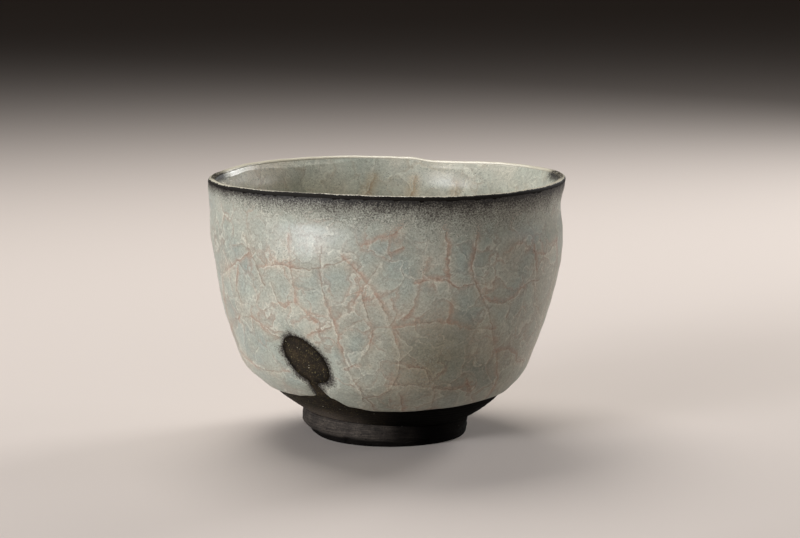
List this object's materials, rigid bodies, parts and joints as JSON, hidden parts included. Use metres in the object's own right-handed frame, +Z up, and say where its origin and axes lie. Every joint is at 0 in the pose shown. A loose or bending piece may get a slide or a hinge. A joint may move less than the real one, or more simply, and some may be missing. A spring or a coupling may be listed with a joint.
{
  "type": "tea bowl",
  "caption": "Wheel-thrown stoneware tea bowl with a turned foot ring and a thick crackled glaze, for whisking and drinking powdered tea.",
  "frame": {"origin": "middle of the foot ring on the surface that the bowl stands on", "axes": "+Z up along the axis the bowl was thrown on, -Y towards the viewer of the picture, where the finger mark is to the left"},
  "size_m": [0.1198, 0.1198, 0.0881],
  "materials": {
    "dark_stoneware": "bare iron-dark stoneware, matt with fine specks",
    "foot_stoneware": "bare turned stoneware, matt, worn lighter",
    "outer_glaze": "thick grey-green crackle glaze, satin gloss",
    "inner_glaze": "grey-green crackle glaze stained by tea, satin gloss"
  },
  "bodies": {
    "root": {"clay_bowl": "dark_stoneware", "foot_ring": "foot_stoneware", "outer_glaze": "outer_glaze", "inner_glaze": "inner_glaze"}
  },
  "joints": []
}
